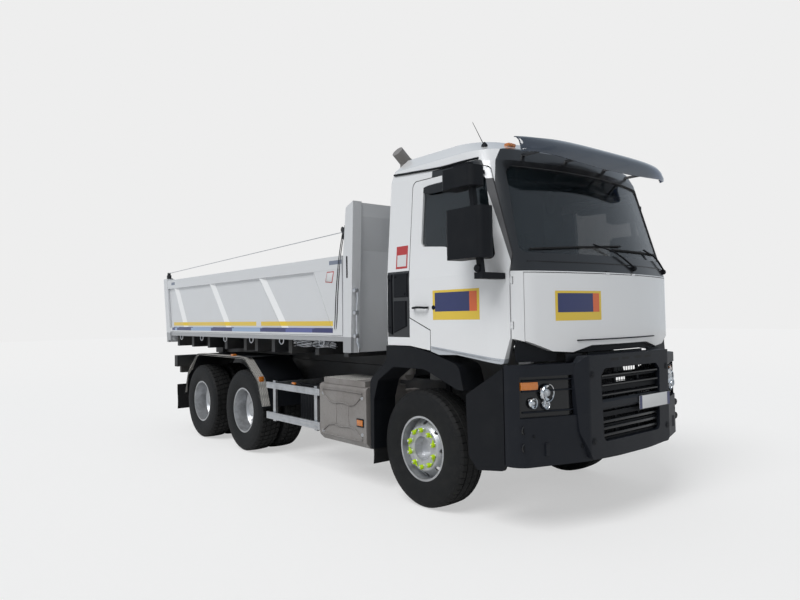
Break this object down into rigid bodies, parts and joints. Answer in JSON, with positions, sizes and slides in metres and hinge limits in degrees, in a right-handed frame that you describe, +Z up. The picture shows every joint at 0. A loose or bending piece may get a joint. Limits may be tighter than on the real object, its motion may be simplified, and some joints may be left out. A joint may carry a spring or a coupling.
{
  "type": "three-axle dump truck",
  "caption": "Dump truck with a tipping steel bed, drop-down side and tail walls, tilting cab, steered front axle and tandem twin-wheel rear axles.",
  "frame": {"origin": "on the ground under the middle of the truck's length and width", "axes": "+X towards the front of the truck, +Y to its left, +Z up"},
  "size_m": [7.91, 3.08, 3.4738],
  "materials": {
    "steel_black": "satin chassis paint",
    "engine_grey": "cast",
    "silencer_grey": "weathered",
    "tank_aluminium": "brushed",
    "plastic_black": "matte",
    "plastic_smoked": "smoked gloss",
    "plastic_inside": "grained",
    "seat_fabric": "woven",
    "cab_white": "gloss paint",
    "bumper_dark": "satin plastic",
    "lamp_lens": "clear lens",
    "window_glass": "clear",
    "tyre_rubber": "worn tread",
    "wheel_silver": "silver paint",
    "bed_white": "gloss paint",
    "cylinder_steel": "satin paint"
  },
  "bodies": {
    "chassis": {"frame": "steel_black", "subframe": "steel_black", "engine": "engine_grey", "propshaft": "steel_black", "front_axle": "steel_black", "rear_axles": "steel_black", "springs": "steel_black", "exhaust": "silencer_grey", "fuel_tank": "tank_aluminium", "mudguards": "plastic_black", "side_guards": "tank_aluminium", "underrun": "steel_black", "steps": "plastic_black", "bumper": "bumper_dark", "grille": "plastic_black", "headlamps": "lamp_lens"},
    "cab": {"cab_shell": "cab_white", "windscreen": "window_glass", "sun_visor": "plastic_smoked", "dashboard": "plastic_inside", "seats": "seat_fabric"},
    "hatch": {"front_hatch": "cab_white"},
    "door_right_body": {"door_right": "cab_white", "door_glass_right": "window_glass", "mirror_right": "plastic_black"},
    "door_left_body": {"door_left": "cab_white", "door_glass_left": "window_glass", "mirror_left": "plastic_black"},
    "steer_right_body": {"knuckle_right": "steel_black"},
    "steer_left_body": {"knuckle_left": "steel_black"},
    "track_rod": {"tie_rod": "steel_black"},
    "wheel_front_right": {"tyre_front_right": "tyre_rubber", "rim_front_right": "wheel_silver"},
    "wheel_front_left": {"tyre_front_left": "tyre_rubber", "rim_front_left": "wheel_silver"},
    "bed": {"bed_floor": "bed_white", "bed_frame": "bed_white", "headboard": "bed_white"},
    "tail_wall": {"tailgate": "bed_white"},
    "side_wall_right": {"side_board_right": "bed_white"},
    "side_wall_left": {"side_board_left": "bed_white"},
    "cylinder_barrel": {"barrel": "cylinder_steel"},
    "wheel_rear_1_right": {"tyre_rear_1_right": "tyre_rubber", "rim_rear_1_right": "wheel_silver"},
    "wheel_rear_1_left": {"tyre_rear_1_left": "tyre_rubber", "rim_rear_1_left": "wheel_silver"},
    "wheel_rear_2_right": {"tyre_rear_2_right": "tyre_rubber", "rim_rear_2_right": "wheel_silver"},
    "wheel_rear_2_left": {"tyre_rear_2_left": "tyre_rubber", "rim_rear_2_left": "wheel_silver"},
    "cylinder_stage_1": {"stage_1": "cylinder_steel"},
    "cylinder_stage_2": {"stage_2": "cylinder_steel"},
    "cylinder_stage_3": {"stage_3": "cylinder_steel"},
    "cylinder_stage_4": {"stage_4": "cylinder_steel"}
  },
  "joints": [
    {"name": "cab_tilt", "type": "hinge", "parent": "chassis", "child": "cab", "pos_m": [3.805, 0, 0.8], "axis": [0, 1, 0], "range_deg": [0, 60]},
    {"name": "hatch_hinge", "type": "hinge", "parent": "cab", "child": "hatch", "pos_m": [3.867, 0, 2.101], "axis": [0, -1, 0], "range_deg": [0, 60]},
    {"name": "door_right_hinge", "type": "hinge", "parent": "cab", "child": "door_right_body", "pos_m": [3.612, -1.16, 2], "axis": [0, 0, 1], "range_deg": [0, 80]},
    {"name": "door_left_hinge", "type": "hinge", "parent": "cab", "child": "door_left_body", "pos_m": [3.612, 1.16, 2], "axis": [0, 0, -1], "range_deg": [0, 80]},
    {"name": "steer_left", "type": "hinge", "parent": "chassis", "child": "steer_left_body", "pos_m": [2.505, 0.87, 0.538], "axis": [0, 0, 1], "range_deg": [-35, 35]},
    {"name": "steer_right", "type": "hinge", "parent": "chassis", "child": "steer_right_body", "pos_m": [2.505, -0.87, 0.538], "axis": [0, 0, 1], "range_deg": [-35, 35]},
    {"name": "track_rod_joint", "type": "hinge", "parent": "steer_left_body", "child": "track_rod", "pos_m": [2.275, 0.87, 0.427], "axis": [0, 0, 1], "range_deg": [-35, 35]},
    {"name": "wheel_front_right_spin", "type": "hinge", "parent": "steer_right_body", "child": "wheel_front_right", "pos_m": [2.505, -1.035, 0.538], "axis": [0, 1, 0], "continuous": true},
    {"name": "wheel_front_left_spin", "type": "hinge", "parent": "steer_left_body", "child": "wheel_front_left", "pos_m": [2.505, 1.035, 0.538], "axis": [0, 1, 0], "continuous": true},
    {"name": "bed_tip", "type": "hinge", "parent": "chassis", "child": "bed", "pos_m": [-3.395, 0, 1.2], "axis": [0, -1, 0], "range_deg": [0, 45]},
    {"name": "tail_wall_hinge", "type": "hinge", "parent": "bed", "child": "tail_wall", "pos_m": [-3.86, 0, 2.428], "axis": [0, 1, 0], "range_deg": [0, 60]},
    {"name": "side_wall_right_hinge", "type": "hinge", "parent": "bed", "child": "side_wall_right", "pos_m": [-1.095, -1.19, 2.38], "axis": [-1, 0, 0], "range_deg": [0, 55]},
    {"name": "side_wall_left_hinge", "type": "hinge", "parent": "bed", "child": "side_wall_left", "pos_m": [-1.095, 1.19, 2.38], "axis": [1, 0, 0], "range_deg": [0, 55]},
    {"name": "barrel_swing", "type": "hinge", "parent": "chassis", "child": "cylinder_barrel", "pos_m": [-0.595, 0, 0.9], "axis": [0, -1, 0], "range_deg": [0, 22.01]},
    {"name": "stage_1_slide", "type": "slide", "parent": "cylinder_barrel", "child": "cylinder_stage_1", "axis": [0, 0, 1], "range_m": [0, 0.526]},
    {"name": "stage_2_slide", "type": "slide", "parent": "cylinder_stage_1", "child": "cylinder_stage_2", "axis": [0, 0, 1], "range_m": [0, 0.526]},
    {"name": "stage_3_slide", "type": "slide", "parent": "cylinder_stage_2", "child": "cylinder_stage_3", "axis": [0, 0, 1], "range_m": [0, 0.526]},
    {"name": "stage_4_slide", "type": "slide", "parent": "cylinder_stage_3", "child": "cylinder_stage_4", "axis": [0, 0, 1], "range_m": [0, 0.526]},
    {"name": "wheel_rear_1_right_spin", "type": "hinge", "parent": "chassis", "child": "wheel_rear_1_right", "pos_m": [-1.045, -0.91, 0.538], "axis": [0, 1, 0], "continuous": true},
    {"name": "wheel_rear_1_left_spin", "type": "hinge", "parent": "chassis", "child": "wheel_rear_1_left", "pos_m": [-1.045, 0.91, 0.538], "axis": [0, 1, 0], "continuous": true},
    {"name": "wheel_rear_2_right_spin", "type": "hinge", "parent": "chassis", "child": "wheel_rear_2_right", "pos_m": [-2.415, -0.91, 0.538], "axis": [0, 1, 0], "continuous": true},
    {"name": "wheel_rear_2_left_spin", "type": "hinge", "parent": "chassis", "child": "wheel_rear_2_left", "pos_m": [-2.415, 0.91, 0.538], "axis": [0, 1, 0], "continuous": true}
  ],
  "couplings": [
    {"joint": "steer_right", "follows": "steer_left", "ratio": 1},
    {"joint": "track_rod_joint", "follows": "steer_left", "ratio": -1},
    {"joint": "barrel_swing", "follows": "bed_tip", "ratio": 0.48894},
    {"joint": "stage_1_slide", "follows": "bed_tip", "m_per_rad": 0.66909},
    {"joint": "stage_2_slide", "follows": "bed_tip", "m_per_rad": 0.66909},
    {"joint": "stage_3_slide", "follows": "bed_tip", "m_per_rad": 0.66909},
    {"joint": "stage_4_slide", "follows": "bed_tip", "m_per_rad": 0.66909}
  ]
}
